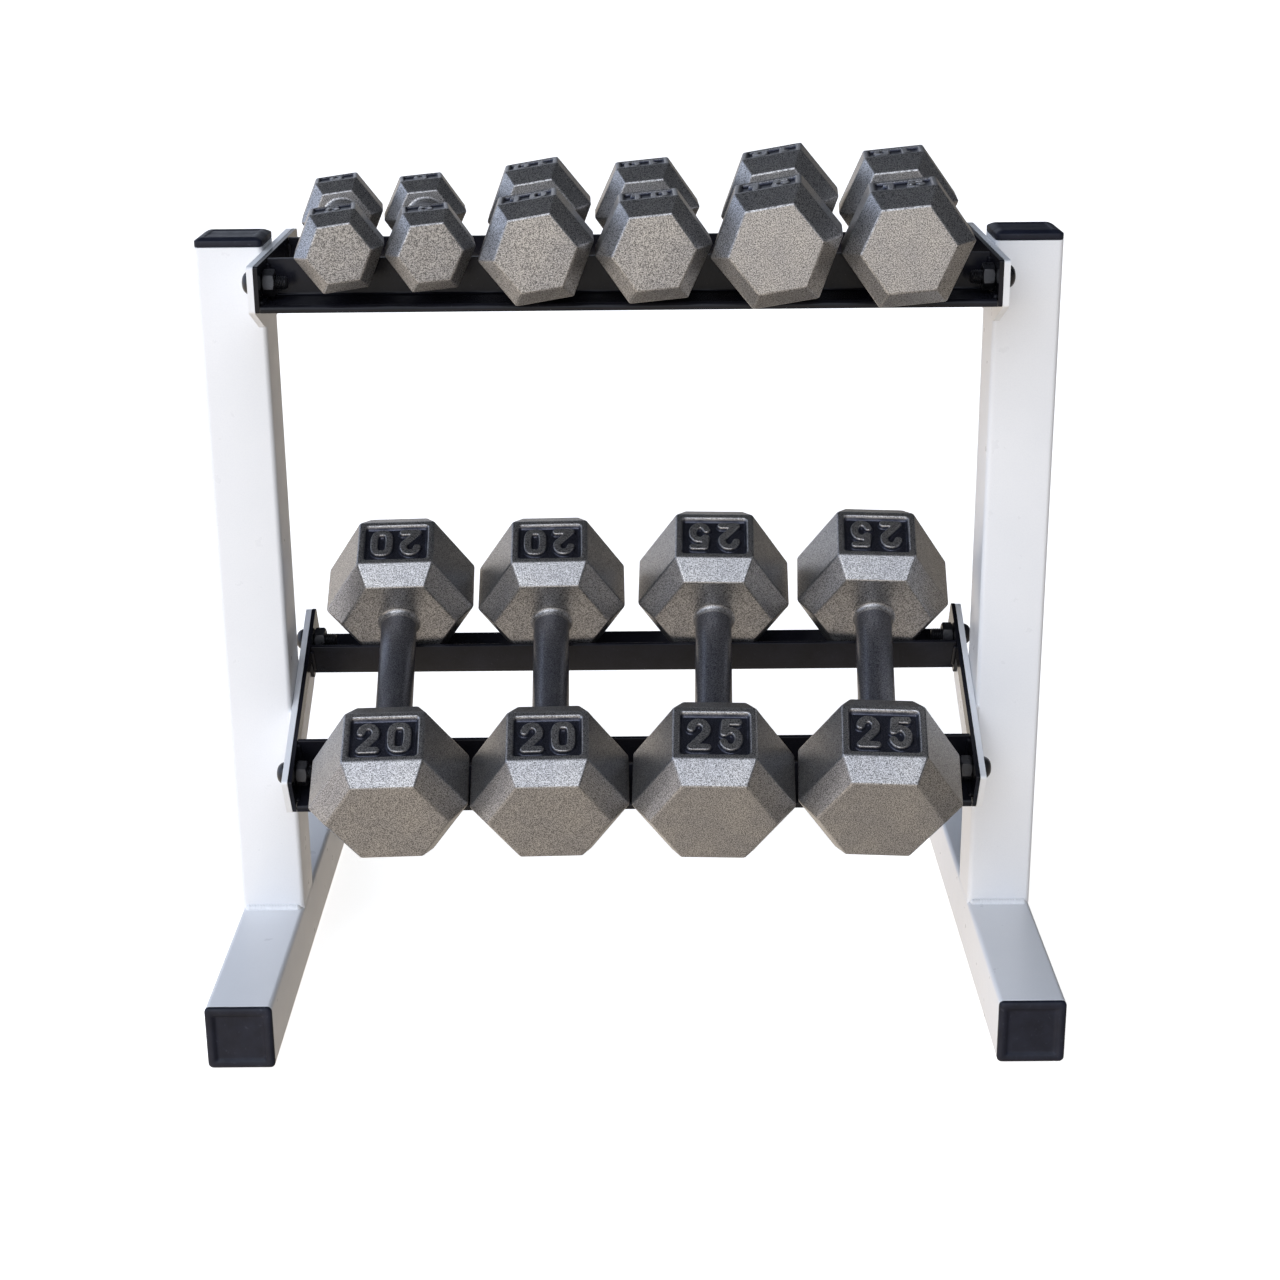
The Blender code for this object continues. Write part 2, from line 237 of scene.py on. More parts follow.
def cap_plastic():
    m = Nodes("black_plastic")
    c = m.coords()
    cloud = m.noise(c, 55.0, 3.0, 0.6)
    tone = m.ramp(cloud, [(0.3, (0.007, 0.008, 0.015)),
                          (0.7, (0.014, 0.016, 0.028))])
    scuff = m.noise(m.coords((1.0, 0.25, 1.0)), 260.0, 3.0, 0.7, 0.6)
    s = m.ramp(scuff, [(0.62, (0, 0, 0)), (0.80, (0.030, 0.032, 0.040))])
    col = m.mix(1.0, tone, s, "ADD")
    grain = m.noise(c, 2100.0, 2.0, 0.6)
    slow = m.noise(c, 240.0, 2.0, 0.5)
    h = m.math("MULTIPLY_ADD", slow, 1.5, grain)
    rough = m.maprange(m.noise(c, 90.0, 3.0, 0.6), 0.3, 0.7, 0.33, 0.50)
    return m.done(col, rough, m.bump(h, 0.5, 0.00010),
                  Specular_IOR_Level=0.22)


def hardware():
    m = Nodes("black_hardware")
    c = m.coords()
    cloud = m.noise(c, 160.0, 4.0, 0.65)
    tone = m.ramp(cloud, [(0.30, (0.012, 0.012, 0.014)),
                          (0.60, (0.022, 0.022, 0.026)),
                          (0.80, (0.055, 0.053, 0.052))])
    fine = m.noise(c, 1500.0, 2.0, 0.6)
    rough = m.maprange(cloud, 0.3, 0.75, 0.24, 0.46)
    return m.done(tone, rough, m.bump(fine, 0.4, 0.00006), Metallic=0.30,
                  Specular_IOR_Level=0.6)


def cast_iron(name, scale, dark, mid, light, metal, grit, rough0, rough1,
              panel=True):
    """Hammertone enamel: light cells in darker veins, over a cast skin."""
    m = Nodes(name)
    c = m.coords()
    cells = m.noise(c, scale, 3.0, 0.62, 0.0)
    fine = m.noise(c, scale * 2.1, 2.0, 0.6, 0.0)
    mixh = m.math("MULTIPLY_ADD", fine, 0.45, m.math("MULTIPLY", cells, 0.78))
    col = m.ramp(mixh, [(0.50, dark), (0.58, mid), (0.67, light),
                        (0.78, tuple(min(1.0, v * 1.25) for v in light))])
    slow = m.noise(c, 26.0, 4.0, 0.6)
    tint = m.ramp(slow, [(0.32, (0.86, 0.86, 0.88)), (0.68, (1.08, 1.06, 1.03))])
    col = m.mix(1.0, col, tint, "MULTIPLY")
    lump = m.noise(c, 120.0, 2.0, 0.5)
    if panel:
        # painted shade: the number recesses are coloured darker and bluer by depth;
        # raised digits stay grey
        rec = m.attr("recess")
        k = m.maprange(rec, 0.18, 0.62, 0.0, 1.0, True)
        recess_painted_shade = m.ramp(fine, [(0.38, (0.024, 0.025, 0.036)),
                             (0.55, (0.060, 0.064, 0.088)),
                             (0.68, (0.150, 0.152, 0.180))])
        col = m.mix(k, col, recess_painted_shade)
    h = m.math("MULTIPLY_ADD", lump, 0.8, mixh)
    n = m.bump(h, 0.75, grit)
    rough = m.maprange(mixh, 0.48, 0.68, rough1, rough0)
    return m.done(col, rough, n, Metallic=metal, Specular_IOR_Level=0.5,
                  Coat_Weight=0.10, Coat_Roughness=0.25)


WHITE = white_powder()
BLACK = black_powder()
CAP = cap_plastic()
STEEL = hardware()
IRON = cast_iron("grey_hammertone", 1250.0, (0.080, 0.078, 0.079),
                 (0.215, 0.209, 0.206), (0.44, 0.432, 0.426), 0.80,
                 0.00012, 0.28, 0.40)
# painted shade: the handle uses a darker copy of the head hammertone, standing in for
# the shade between the heads
GRIP_SHADED = cast_iron("grey_hammertone_grip_painted_shade", 1500.0, (0.035, 0.036, 0.044),
                 (0.085, 0.087, 0.100), (0.19, 0.19, 0.205), 0.66,
                 0.00008, 0.30, 0.42, panel=False)


# ----------------------------------------------------------------- geometry
def piece(bm, name, mats, nodes=(), body="rack", bevel=None,
          place=None, sharp=None, weld=1e-7):
    if weld:
        bmesh.ops.remove_doubles(bm, verts=bm.verts, dist=weld)
    bmesh.ops.recalc_face_normals(bm, faces=bm.faces)
    me = bpy.data.meshes.new(name)
    bm.to_mesh(me)
    bm.free()
    for p in me.polygons:
        p.use_smooth = True
    if sharp is not None:
        me.set_sharp_from_angle(angle=math.radians(sharp))
    ob = bpy.data.objects.new(name, me)
    bpy.context.scene.collection.objects.link(ob)
    for mt in (mats if isinstance(mats, (list, tuple)) else [mats]):
        me.materials.append(mt)
    if place is not None:
        ob.matrix_world = place
    if bevel:
        b = ob.modifiers.new("edge", "BEVEL")
        b.width = bevel[0] * MM
        b.segments = bevel[1]
        b.limit_method = "ANGLE"
        b.angle_limit = math.radians(bevel[2] if len(bevel) > 2 else 35)
        b.use_clamp_overlap = True
        b.harden_normals = True
    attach(ob, body)
    if nodes:
        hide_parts(*nodes)
    return ob


def rounded(pts, radii, seg=6):
    out = []
    n = len(pts)
    for i, (p, r) in enumerate(zip(pts, radii)):
        p = Vector((p[0], p[1]))
        a = Vector(pts[i - 1]) - p
        b = Vector(pts[(i + 1) % n]) - p
        if r <= 0.0:
            out.append(tuple(p))
            continue
        an, bn = a.normalized(), b.normalized()
        half = an.angle(bn) / 2.0
        d = r / math.tan(half)
        c = p + (an + bn).normalized() * (r / math.sin(half))
        s0, s1 = p + an * d - c, p + bn * d - c
        a0, a1 = math.atan2(s0.y, s0.x), math.atan2(s1.y, s1.x)
        dl = (a1 - a0 + math.pi) % (2 * math.pi) - math.pi
        for k in range(seg + 1):
            t = a0 + dl * k / seg
            out.append((c.x + r * math.cos(t), c.y + r * math.sin(t)))
    return out


def ring2d(half, r, seg=8):
    return rounded([(-half, -half), (half, -half), (half, half),
                    (-half, half)], [r] * 4, seg)


def disc(n, r, phase=0.0):
    return [(r * math.cos(phase + 2 * math.pi * k / n),
             r * math.sin(phase + 2 * math.pi * k / n)) for k in range(n)]


def loft(bm, fr, levels, close0=True, close1=True):
    rows = [[bm.verts.new(fr(u, v, w)) for u, v in pts] for w, pts in levels]
    n = len(rows[0])
    if close0:
        bm.faces.new(list(reversed(rows[0])))
    if close1:
        bm.faces.new(rows[-1])
    for a, b in zip(rows[:-1], rows[1:]):
        for k in range(n):
            j = (k + 1) % n
            bm.faces.new((a[k], a[j], b[j], b[k]))
    return rows


def tube(bm, fr, half, wall, length, r_out):
    """Hollow square tube with rounded corners and slightly eased ends."""
    prof = [(0.25, 0.0), (0.0, 0.25)]
    rows = []
    lv = [(0.0, -0.25), (0.25, 0.0), (length - 0.25, 0.0), (length, -0.25)]
    for w, e in lv:
        rows.append([bm.verts.new(fr(u, v, w))
                     for u, v in ring2d(half + e, r_out + e)])
    for w in (length, 0.0):
        rows.append([bm.verts.new(fr(u, v, w))
                     for u, v in ring2d(half - wall, max(r_out - wall, 0.8))])
    n = len(rows[0])
    m = len(rows)
    for i in range(m):
        a, b = rows[i], rows[(i + 1) % m]
        for k in range(n):
            j = (k + 1) % n
            bm.faces.new((a[k], a[j], b[j], b[k]))


def plate(bm, outline, holes, x0, x1, seg=32):
    loops = [outline]
    for (hy, hz, r) in holes:
        loops.append([(hy + r * math.cos(2 * math.pi * k / seg),
                       hz + r * math.sin(2 * math.pi * k / seg))
                      for k in range(seg)])
    flat = bmesh.new()
    edges = []
    for lp in loops:
        vs = [flat.verts.new((0.0, (y - YC) * MM, z * MM)) for y, z in lp]
        for i in range(len(vs)):
            edges.append(flat.edges.new((vs[i], vs[(i + 1) % len(vs)])))
    flat.verts.index_update()
    bmesh.ops.triangle_fill(flat, edges=edges, use_beauty=True,
                            use_dissolve=False, normal=(1, 0, 0))
    flat.verts.index_update()
    tri = [[v.index for v in f.verts] for f in flat.faces]
    co = [v.co.copy() for v in flat.verts]
    rings, k = [], 0
    for lp in loops:
        rings.append(list(range(k, k + len(lp))))
        k += len(lp)
    flat.free()
    lo = [bm.verts.new((x0 * MM, c.y, c.z)) for c in co]
    hi = [bm.verts.new((x1 * MM, c.y, c.z)) for c in co]
    for t in tri:
        bm.faces.new([lo[i] for i in t])
        bm.faces.new([hi[i] for i in reversed(t)])
    for r in rings:
        for i in range(len(r)):
            a, b = r[i], r[(i + 1) % len(r)]
            bm.faces.new((lo[a], lo[b], hi[b], hi[a]))


def bead(name, p0, p1, r, mat, pitch=2.3, seed=0.0, lean=None, amp=0.10):
    """A weld bead from p0 to p1: overlapping ripples with rounded ends."""
    p0, p1 = Vector(p0), Vector(p1)
    t = (p1 - p0).normalized()
    up = Vector((0, 0, 1)) if abs(t.z) < 0.8 else Vector((0, 1, 0))
    a = t.cross(up).normalized()
    b = t.cross(a).normalized()
    length = (p1 - p0).length / MM
    n = max(8, int(length / 0.42))
    m = 14
    bm = bmesh.new()
    rows = []
    for i in range(n + 1):
        w = length * i / n
        end = min(w, length - w)
        taper = math.sqrt(max(0.0, 1 - (1 - min(end / r, 1.0)) ** 2))
        rip = 1 + amp * abs(math.sin(math.pi * w / pitch + seed)) ** 0.7
        rip += 0.10 * noise.noise(Vector((w * 0.23, seed * 3.1, 0.0)))
        off = 0.35 * noise.noise(Vector((w * 0.11, 7.7, seed)))
        rr = max(0.12, r * taper * rip)
        row = []
        for k in range(m):
            ang = 2 * math.pi * k / m
            # crescent shape of each ripple
            lag = -0.5 * pitch * (1 - math.cos(ang)) * 0.25
            c = p0 + t * ((w + lag * taper) * MM)
            row.append(bm.verts.new(c + (a * math.cos(ang) + b * math.sin(ang))
                                    * (rr * MM) + a * off * MM * 0.5))
        rows.append(row)
    bm.faces.new(list(reversed(rows[0])))
    bm.faces.new(rows[-1])
    for q, s in zip(rows[:-1], rows[1:]):
        for k in range(m):
            j = (k + 1) % m
            bm.faces.new((q[k], q[j], s[j], s[k]))
    return piece(bm, name, mat, sharp=70)


# ---- side frames -----------------------------------------------------------
for side, sx in (("left", -1), ("right", 1)):
    xc = sx * (XF - H)
    bm = bmesh.new()
    tube(bm, lambda u, v, w: V(xc + u, CAP_T + GAP + w, H + v), H, WALL,
         BASE_L - 2 * (CAP_T + GAP), R_T)
    piece(bm, "painted_base_tube_" + side, WHITE, ["base_tube_" + side],
          sharp=40)
    bm = bmesh.new()
    tube(bm, lambda u, v, w: V(xc + u, UP_Y0 + H + v, TUBE + GAP + w), H,
         WALL, UP_TOP - TUBE - GAP, R_T)
    piece(bm, "painted_upright_" + side, WHITE, ["upright_" + side],
          sharp=40)
    # welds at the foot of the upright: fillets front and rear, seams beside
    zt = TUBE + 0.1
    for tag, y in (("front", UP_Y0 - 0.4), ("rear", UP_Y0 + TUBE + 0.4)):
        bead("weld_foot_%s_%s" % (side, tag), V(xc - 22.5, y, zt),
             V(xc + 22.5, y, zt), 3.1, WHITE, seed=sx + y * 0.1)
    for tag, dx in (("outer", sx), ("inner", -sx)):
        bead("weld_foot_%s_%s" % (side, tag),
             V(xc + dx * (H - 1.9), UP_Y0 + 2.5, TUBE - 0.9),
             V(xc + dx * (H - 1.9), UP_Y0 + TUBE - 2.5, TUBE - 0.9), 1.9,
             WHITE, seed=dx * 2.0 + sx)

    # moulded caps
    plug = H - WALL - GAP

    def cap_ring(off, seg=8):
        return ring2d(H - off, max(R_T - off * 0.30, 1.4), seg)

    for end, sy in (("front", -1), ("rear", 1)):
        y_out = 0.0 if sy < 0 else BASE_L
        fr = (lambda u, v, w, y_out=y_out, sy=sy:
              V(xc + u, y_out - sy * w, H + v))
        bm = bmesh.new()
        loft(bm, fr, [
            (2.15, cap_ring(9.4)), (2.10, cap_ring(8.3)),
            (1.90, cap_ring(7.5)), (1.45, cap_ring(6.9)),
            (0.85, cap_ring(6.3)), (0.38, cap_ring(5.5)),
            (0.10, cap_ring(4.6)), (0.0, cap_ring(3.6)),
            (0.10, cap_ring(2.5)), (0.40, cap_ring(1.5)),
            (0.90, cap_ring(0.7)), (1.55, cap_ring(0.2)),
            (2.10, cap_ring(0.0)), (CAP_T - 0.2, cap_ring(0.0)),
            (CAP_T, cap_ring(0.2)),
            (CAP_T, ring2d(plug, 1.8)),
            (CAP_T + 13.2, ring2d(plug - 0.5, 1.6)),
            (CAP_T + 14.0, ring2d(plug - 1.3, 1.2)),
        ])
        piece(bm, "moulded_base_cap_%s_%s" % (side, end), CAP,
              ["base_cap_%s_%s" % (side, end)], sharp=50)
    fr = lambda u, v, w: V(xc + u, UP_Y0 + H + v, UP_TOP + GAP + w)
    bm = bmesh.new()
    loft(bm, fr, [
        (-14.0, ring2d(plug - 1.3, 1.2)), (-13.2, ring2d(plug - 0.5, 1.6)),
        (0.0, ring2d(plug, 1.8)), (0.0, cap_ring(0.25)), (0.3, cap_ring(0.0)),
        (4.0, cap_ring(0.0)), (4.45, cap_ring(0.12)), (4.8, cap_ring(0.45)),
        (5.1, cap_ring(0.95)), (6.2, cap_ring(3.0)), (6.55, cap_ring(3.8)),
        (6.78, cap_ring(4.6)), (6.9, cap_ring(5.6)),
        # the top has a shallow panel inside a narrow rim
        (6.9, cap_ring(6.6)), (6.75, cap_ring(7.0)), (6.35, cap_ring(7.5)),
        (6.2, cap_ring(8.1)), (6.2, cap_ring(9.5)),
    ])
    piece(bm, "moulded_upright_cap_" + side, CAP, ["upright_cap_" + side],
          sharp=50)


# ---- brackets, end plates, rails -------------------------------------------
def bolt_yz(shelf):
    return [(tag,) + shelf_yz(shelf, s, BOLT_N)
            for tag, s in (("front", BOLT_S), ("rear", SH_L - BOLT_S))]


XR = XI - 3 * GAP - BRK_T - END_T
for shelf in ("upper", "lower"):
    P = lambda s, n, shelf=shelf: shelf_yz(shelf, s, n)
    tilt = math.radians(SHELVES[shelf]["tilt"])
    SH_H = SHELVES[shelf]["h"]
    TRAY_N = SHELVES[shelf]["tray"]
    for side, sx in (("left", -1), ("right", 1)):
        out = rounded([(0, 0), (0, -SH_H), (38, -BRK_D), (SH_L - 38, -BRK_D),
                       (SH_L, -SH_H), (SH_L, 0)],
                      [2.5, 2.5, 6, 6, 5, 5], 7)
        holes = [(y, z, M_R + 0.3) for _, y, z in bolt_yz(shelf)]
        xa, xb = sx * (XI - GAP), sx * (XI - GAP - BRK_T)
        bm = bmesh.new()
        plate(bm, [P(*p) for p in out], holes, min(xa, xb), max(xa, xb))
        piece(bm, "painted_bracket_%s_%s" % (shelf, side), WHITE,
              ["bracket_%s_%s" % (shelf, side)], bevel=(0.7, 3, 40))
        out = rounded([(0, 0), (0, -SH_H), (TRAY + 1, -SH_H),
                       (TRAY + 6, -13), (SH_L - TRAY - 6, -13),
                       (SH_L - TRAY - 1, -SH_H), (SH_L, -SH_H), (SH_L, 0)],
                      [1.5, 1.5, 1.5, 3, 3, 1.5, 1.5, 4], 6)
        xa = sx * (XI - 2 * GAP - BRK_T)
        xb = sx * (XI - 2 * GAP - BRK_T - END_T)
        bm = bmesh.new()
        plate(bm, [P(*p) for p in out], holes, min(xa, xb), max(xa, xb))
        piece(bm, "painted_end_plate_%s_%s" % (shelf, side), BLACK,
              ["end_plate_%s_%s" % (shelf, side)], bevel=(0.5, 3, 40))

        # bolt: domed head outside, threaded end inside
        for tag, by, bz in bolt_yz(shelf):
            fr = (lambda u, v, w, by=by, bz=bz, sx=sx: V(sx * w, by + u, bz + v))
            n = 40
            x_end = XR - 17.0
            levels = [(x_end, disc(n, 3.2)), (x_end + 0.25, disc(n, 3.7)),
                      (x_end + 1.0, disc(n, 4.25))]
            w = x_end + 1.0
            pitch = 1.5
            while w < XR - 1.0:
                w += 0.22
                row = []
                fade = min(1.0, (w - x_end - 0.6) / 1.2)
                for k in range(n):
                    a = 2 * math.pi * k / n
                    ph = (w / pitch - a * sx / (2 * math.pi)) % 1.0
                    tri = 1 - abs(2 * ph - 1)
                    tri = min(1.0, max(0.0, (tri - 0.08) / 0.80))
                    r = 4.05 + 0.82 * tri * fade + (1 - fade) * 0.2
                    row.append((r * math.cos(a), r * math.sin(a)))
                levels.append((w, row))
            levels += [(XR - 0.5, disc(n, M_R - 0.15)), (XI, disc(n, M_R - 0.1)),
                       (XI, disc(n, 8.3)), (XI + 0.25, disc(n, 8.6))]
            # low dome: circular arc over the head
            for k in range(0, 13):
                a = math.radians(8 + 82 * k / 12)
                levels.append((XI + 1.2 + 5.8 * math.sin(a) ** 1.15,
                               disc(n, max(8.65 * math.cos(a) ** 0.72, 0.25))))
            bm = bmesh.new()
            loft(bm, fr, levels)
            piece(bm, "machined_bolt_%s_%s_%s" % (shelf, side, tag), STEEL,
                  ["bolt_%s_%s_%s" % (shelf, side, tag)], sharp=50)
            # nut: hexagon trimmed by a chamfer cone at both faces
            n = 72
            ph = math.radians(20)

            def hexr(a):
                q = (a - ph) % (math.pi / 3) - math.pi / 6
                return 8.5 / math.cos(q)

            def nut_row(cone):
                return [(min(hexr(2 * math.pi * k / n), cone)
                         * math.cos(2 * math.pi * k / n),
                         min(hexr(2 * math.pi * k / n), cone)
                         * math.sin(2 * math.pi * k / n)) for k in range(n)]

            x0, x1 = XR - 8.4, XR
            bm = bmesh.new()
            rows = []
            lv = [(0.0, 8.35), (0.25, 8.78), (0.5, 9.2), (0.75, 9.65),
                  (1.05, 9.95)]
            seq = [(x0 + d, nut_row(c)) for d, c in lv]
            seq += [(x1 - d, nut_row(c)) for d, c in reversed(lv)]
            seq += [(x1, disc(n, 5.75)), (x1 - 0.6, disc(n, M_R + 0.15)),
                    (x0 + 0.6, disc(n, M_R + 0.15)), (x0, disc(n, 5.75))]
            for wq, pts in seq:
                rows.append([bm.verts.new(fr(u, v, wq)) for u, v in pts])
            for i in range(len(rows)):
                a_, b_ = rows[i], rows[(i + 1) % len(rows)]
                for k in range(n):
                    j = (k + 1) % n
                    bm.faces.new((a_[k], a_[j], b_[j], b_[k]))
            piece(bm, "machined_nut_%s_%s_%s" % (shelf, side, tag), STEEL,
                  ["nut_%s_%s_%s" % (shelf, side, tag)], sharp=22)

    # formed rails
    prof = [(TRAY, LEG_N), (TRAY - RAIL_T, LEG_N), (TRAY - RAIL_T, TRAY_N),
            (0.5, TRAY_N), (0.5, -SH_H), (0.5 + RAIL_T, -SH_H),
            (0.5 + RAIL_T, TRAY_N - RAIL_T), (TRAY, TRAY_N - RAIL_T)]
    rad = [0.6, 0.6, 2.0, 3.2, 0.7, 0.7, 1.0, 3.6]
    sec = rounded(prof, rad, 6)
    for tag, mir in (("front", False), ("rear", True)):
        pts = [P((SH_L - s) if mir else s, n) for s, n in sec]
        bm = bmesh.new()
        xs = [-XR, -XR + 0.3] + [XR * (2 * i / 12 - 1) for i in range(1, 12)]
        xs += [XR - 0.3, XR]
        rows = [[bm.verts.new(V(x, y, z)) for y, z in pts] for x in xs]
        bm.faces.new(rows[0])
        bm.faces.new(list(reversed(rows[-1])))
        for a_, b_ in zip(rows[:-1], rows[1:]):
            for k in range(len(pts)):
                j = (k + 1) % len(pts)
                bm.faces.new((a_[k], b_[k], b_[j], a_[j]))
        piece(bm, "formed_rail_%s_%s" % (shelf, tag), BLACK,
              ["rail_%s_%s" % (shelf, tag)], sharp=28)
        # welds from rail to end plate: leg corner and tray
        for side, sx in (("left", -1), ("right", 1)):
            xw = sx * (XR - 0.2)

            def at(s, n):
                y, z = P((SH_L - s) if mir else s, n)
                return V(xw, y, z)

            bead("weld_rail_%s_%s_%s_a" % (shelf, tag, side),
                 at(TRAY - RAIL_T - 0.4, -3.5), at(TRAY - RAIL_T - 0.4, TRAY_N + 4.0),
                 1.9, BLACK, pitch=2.0, seed=sx * 1.3 + mir)
            bead("weld_rail_%s_%s_%s_b" % (shelf, tag, side),
                 at(6.0, TRAY_N + 0.3), at(24.0, TRAY_N + 0.3), 1.9, BLACK,
                 pitch=2.0, seed=sx * 2.3 - mir)
            bead("weld_rail_%s_%s_%s_c" % (shelf, tag, side),
                 at(TRAY + 0.2, -5.0), at(TRAY + 0.2, TRAY_N + 3.0),
                 1.8, BLACK, pitch=2.0, seed=sx * 0.3 - mir)

# bracket to upright welds, down both edges of the tube
for side, sx in (("left", -1), ("right", 1)):
    for shelf, tag, y, z0, z1 in (
            ("upper", "front", UP_Y0 + 1.2, 532.0, 578.0),
            ("upper", "rear", UP_Y0 + TUBE - 1.2, 532.0, 578.0),
            ("lower", "front", UP_Y0 + 1.2, 169.0, 221.0),
            ("lower", "rear", UP_Y0 + TUBE - 1.2, 194.5, 246.0)):
        bead("weld_bracket_%s_%s_%s" % (shelf, side, tag),
             V(sx * (XI + 0.9), y, z0), V(sx * (XI + 0.9), y, z1), 2.1,
             WHITE, seed=z0 + sx)


# ---- dumbbells ---------------------------------------------------------------
SIZES = {
    5: (63.8, 11.5, 33.5, 60.0, 12.8, 0.72),
    10: (81.6, 14.0, 41.0, 60.0, 13.6, 0.72),
    15: (92.2, 15.0, 49.0, 61.0, 13.8, 0.72),
    20: (118.8, 16.7, 46.5, 63.5, 14.2, 0.77),
    25: (122.0, 17.0, 49.0, 63.5, 14.4, 0.77),
}
UPPER = [
    ("dumbbell_05_left", 5, -212.4, 7.4, -6.6),
    ("dumbbell_05_right", 5, -148.6, 4.8, -6.4),
    ("dumbbell_10_left", 10, -66.9, 9.2, -1.8),
    ("dumbbell_10_right", 10, 15.6, 5.3, -1.2),
    ("dumbbell_15_left", 15, 110.6, 10.0, 4.0),
    ("dumbbell_15_right", 15, 201.8, 6.0, 4.4),
]
LOWER = [
    ("dumbbell_20_left", 20, -185.2, 0.0, -1.7),
    ("dumbbell_20_right", 20, -64.2, 0.0, -1.0),
    ("dumbbell_25_left", 25, 62.6, 0.0, 1.5),
    ("dumbbell_25_right", 25, 188.8, 0.0, 2.9),
]


def arc(cx, cy, rx, ry, a0, a1, n=14):
    return [(cx + rx * math.cos(math.radians(a0 + (a1 - a0) * k / n)),
             cy + ry * math.sin(math.radians(a0 + (a1 - a0) * k / n)))
            for k in range(n + 1)]


def glyph(ch):
    """Centrelines of a digit in a unit box."""
    if ch == "0":
        pts = []
        for k in range(40):
            a = 2 * math.pi * k / 40
            c, s = math.cos(a), math.sin(a)
            pts.append((0.5 + 0.5 * math.copysign(abs(c) ** 0.62, c),
                        0.5 + 0.5 * math.copysign(abs(s) ** 0.62, s)))
        return [pts + pts[:1]]
    if ch == "1":
        return [[(0.22, 0.80), (0.56, 1.0)], [(0.56, 1.0), (0.56, 0.0)]]
    if ch == "2":
        return [arc(0.5, 0.70, 0.46, 0.30, 172, -28) + [(0.04, 0.0), (1.0, 0.0)]]
    if ch == "5":
        return [[(0.92, 1.0), (0.18, 1.0), (0.10, 0.56)]
                + arc(0.49, 0.335, 0.47, 0.335, 128, -158, 18)]
    return []


def seg_dist(px, py, lines):
    best = np.full(px.shape, 1e9)
    for ln in lines:
        for (ax_, ay_), (bx_, by_) in zip(ln[:-1], ln[1:]):
            dx, dy = bx_ - ax_, by_ - ay_
            l2 = dx * dx + dy * dy
            t = np.clip(((px - ax_) * dx + (py - ay_) * dy) / max(l2, 1e-9),
                        0, 1)
            best = np.minimum(best, np.hypot(px - ax_ - t * dx,
                                             py - ay_ - t * dy))
    return best


def smooth01(t):
    t = np.clip(t, 0, 1)
    return t * t * (3 - 2 * t)


def panel_height(gx, gy, pw, ph, text, flip):
    """Heights (mm, 0 at the flat, negative in the recess) over the panel."""
    x, y = (-gx, -gy) if flip else (gx, gy)
    hw, hh, rc = pw / 2, ph / 2, 0.075 * pw
    qx, qy = np.abs(x) - (hw - rc), np.abs(y) - (hh - rc)
    outside = np.hypot(np.maximum(qx, 0), np.maximum(qy, 0)) \
        + np.minimum(np.maximum(qx, qy), 0) - rc
    inside = -outside
    depth = 0.070 * pw
    wall = 0.062 * pw
    z = -depth * smooth01((inside - 0.1) / wall)
    gh, stroke = 0.73 * ph, 0.122 * pw
    gw = 0.35 * pw
    if len(text) == 1:
        gw = 0.42 * pw
    gap = 0.085 * pw
    total = len(text) * gw + (len(text) - 1) * gap
    lines = []
    for i, ch in enumerate(text):
        x0 = -total / 2 + i * (gw + gap) + stroke / 2
        y0 = -gh / 2 + stroke / 2 - 0.01 * ph
        for ln in glyph(ch):
            lines.append([(x0 + a * (gw - stroke), y0 + b * (gh - stroke))
                          for a, b in ln])
    d = seg_dist(x, y, lines)
    rise = depth * 0.86 * smooth01((stroke * 0.62 - d) / (stroke * 0.24))
    return z + rise, depth


